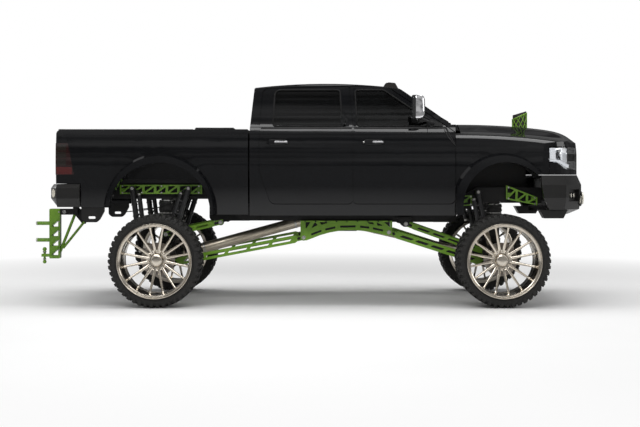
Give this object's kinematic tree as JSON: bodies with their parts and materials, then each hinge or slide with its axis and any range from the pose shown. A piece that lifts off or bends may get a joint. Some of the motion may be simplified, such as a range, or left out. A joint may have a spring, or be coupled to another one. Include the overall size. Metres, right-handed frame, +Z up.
{
  "type": "pickup truck",
  "caption": "Crew-cab pickup truck on a very tall lattice-link suspension lift, with deep-dish wheels, drop hitch and hood stack.",
  "frame": {"origin": "on the ground, at the middle of the overall length and width", "axes": "+X forward, +Y to the driver's left, +Z up"},
  "size_m": [6.28, 2.66, 2.5115],
  "materials": {
    "body_paint": "deep gloss black",
    "lift_paint": "gloss lime green powder coat",
    "frame_paint": "satin black",
    "axle_paint": "satin black over casting",
    "dark_glass": "dark tinted",
    "clear_lamp": "clear lens over chrome",
    "red_lamp": "smoked red lens",
    "smoked_lamp": "smoked amber lens",
    "mirror_chrome": "bright chrome",
    "black_plastic": "grained black",
    "seat_leather": "black",
    "cover_cloth": "black coated cloth",
    "shaft_metal": "satin silver",
    "shock_metal": "black and bright steel",
    "bellows_rubber": "matt",
    "tyre_rubber": "matt",
    "polished_wheel": "polished",
    "disc_iron": "machined faces"
  },
  "bodies": {
    "chassis": {"cab_shell": "body_paint", "cab_glass": "dark_glass", "seats": "seat_leather", "dashboard": "black_plastic", "steering_wheel": "black_plastic", "roof_lamps": "smoked_lamp", "front_fenders": "body_paint", "wheel_liners": "black_plastic", "headlamps": "clear_lamp", "grille_surround": "body_paint", "grille": "black_plastic", "front_bumper": "frame_paint", "bumper_lamps": "clear_lamp", "bed": "body_paint", "tail_lamps": "red_lamp", "bed_cover": "cover_cloth", "rear_bumper": "frame_paint", "drop_hitch": "lift_paint", "frame_rails": "frame_paint", "crossmembers": "frame_paint", "engine_block": "axle_paint", "gearbox": "axle_paint", "fuel_tank": "black_plastic", "driveshafts": "shaft_metal", "front_axle": "axle_paint", "rear_axle": "axle_paint", "front_links": "lift_paint", "rear_links": "lift_paint", "belly_trusses": "lift_paint", "frame_trusses": "lift_paint", "air_springs": "bellows_rubber", "shocks": "shock_metal"},
    "knuckle_left": {"knuckle_left": "axle_paint"},
    "wheel_front_left": {"tyre_front_left": "tyre_rubber", "rim_front_left": "polished_wheel", "brake_disc_front_left": "disc_iron"},
    "wheel_rear_left": {"tyre_rear_left": "tyre_rubber", "rim_rear_left": "polished_wheel", "brake_disc_rear_left": "disc_iron"},
    "door_front_left": {"front_door_left": "body_paint", "front_window_left": "dark_glass", "mirror_left": "mirror_chrome"},
    "door_rear_left": {"rear_door_left": "body_paint", "rear_window_left": "dark_glass"},
    "knuckle_right": {"knuckle_right": "axle_paint"},
    "wheel_front_right": {"tyre_front_right": "tyre_rubber", "rim_front_right": "polished_wheel", "brake_disc_front_right": "disc_iron"},
    "wheel_rear_right": {"tyre_rear_right": "tyre_rubber", "rim_rear_right": "polished_wheel", "brake_disc_rear_right": "disc_iron"},
    "door_front_right": {"front_door_right": "body_paint", "front_window_right": "dark_glass", "mirror_right": "mirror_chrome"},
    "door_rear_right": {"rear_door_right": "body_paint", "rear_window_right": "dark_glass"},
    "tie_rod": {"tie_rod": "axle_paint"},
    "hood": {"hood": "body_paint", "hood_stack": "lift_paint"},
    "tailgate": {"tailgate": "body_paint"}
  },
  "joints": [
    {"name": "wheel_front_left_spin", "type": "hinge", "parent": "knuckle_left", "child": "wheel_front_left", "pos_m": [2.1825, 1.024, 0.508], "axis": [0, 1, 0], "continuous": true},
    {"name": "wheel_rear_left_spin", "type": "hinge", "parent": "chassis", "child": "wheel_rear_left", "pos_m": [-1.6025, 1.024, 0.508], "axis": [0, 1, 0], "continuous": true},
    {"name": "door_front_left_hinge", "type": "hinge", "parent": "chassis", "child": "door_front_left", "pos_m": [1.678, 0.988, 1.6], "axis": [0, 0, -1], "range_deg": [0, 65]},
    {"name": "door_rear_left_hinge", "type": "hinge", "parent": "chassis", "child": "door_rear_left", "pos_m": [0.55, 0.988, 1.6], "axis": [0, 0, -1], "range_deg": [0, 65]},
    {"name": "wheel_front_right_spin", "type": "hinge", "parent": "knuckle_right", "child": "wheel_front_right", "pos_m": [2.1825, -1.024, 0.508], "axis": [0, 1, 0], "continuous": true},
    {"name": "wheel_rear_right_spin", "type": "hinge", "parent": "chassis", "child": "wheel_rear_right", "pos_m": [-1.6025, -1.024, 0.508], "axis": [0, 1, 0], "continuous": true},
    {"name": "door_front_right_hinge", "type": "hinge", "parent": "chassis", "child": "door_front_right", "pos_m": [1.678, -0.988, 1.6], "axis": [0, 0, 1], "range_deg": [0, 65]},
    {"name": "door_rear_right_hinge", "type": "hinge", "parent": "chassis", "child": "door_rear_right", "pos_m": [0.55, -0.988, 1.6], "axis": [0, 0, 1], "range_deg": [0, 65]},
    {"name": "steer_left", "type": "hinge", "parent": "chassis", "child": "knuckle_left", "pos_m": [2.1825, 0.77, 0.508], "axis": [0, 0, 1], "range_deg": [-26, 26]},
    {"name": "steer_right", "type": "hinge", "parent": "chassis", "child": "knuckle_right", "pos_m": [2.1825, -0.77, 0.508], "axis": [0, 0, 1], "range_deg": [-26, 26]},
    {"name": "tie_rod_swing", "type": "hinge", "parent": "knuckle_left", "child": "tie_rod", "pos_m": [2.3825, 0.77, 0.393], "axis": [0, 0, 1], "range_deg": [-26, 26]},
    {"name": "hood_hinge", "type": "hinge", "parent": "chassis", "child": "hood", "pos_m": [1.753, 0, 2.014], "axis": [0, -1, 0], "range_deg": [0, 50]},
    {"name": "tailgate_hinge", "type": "hinge", "parent": "chassis", "child": "tailgate", "pos_m": [-2.69, 0, 1.385], "axis": [0, -1, 0], "range_deg": [0, 90]}
  ],
  "couplings": [
    {"joint": "steer_right", "follows": "steer_left", "ratio": 1},
    {"joint": "tie_rod_swing", "follows": "steer_left", "ratio": -1}
  ]
}
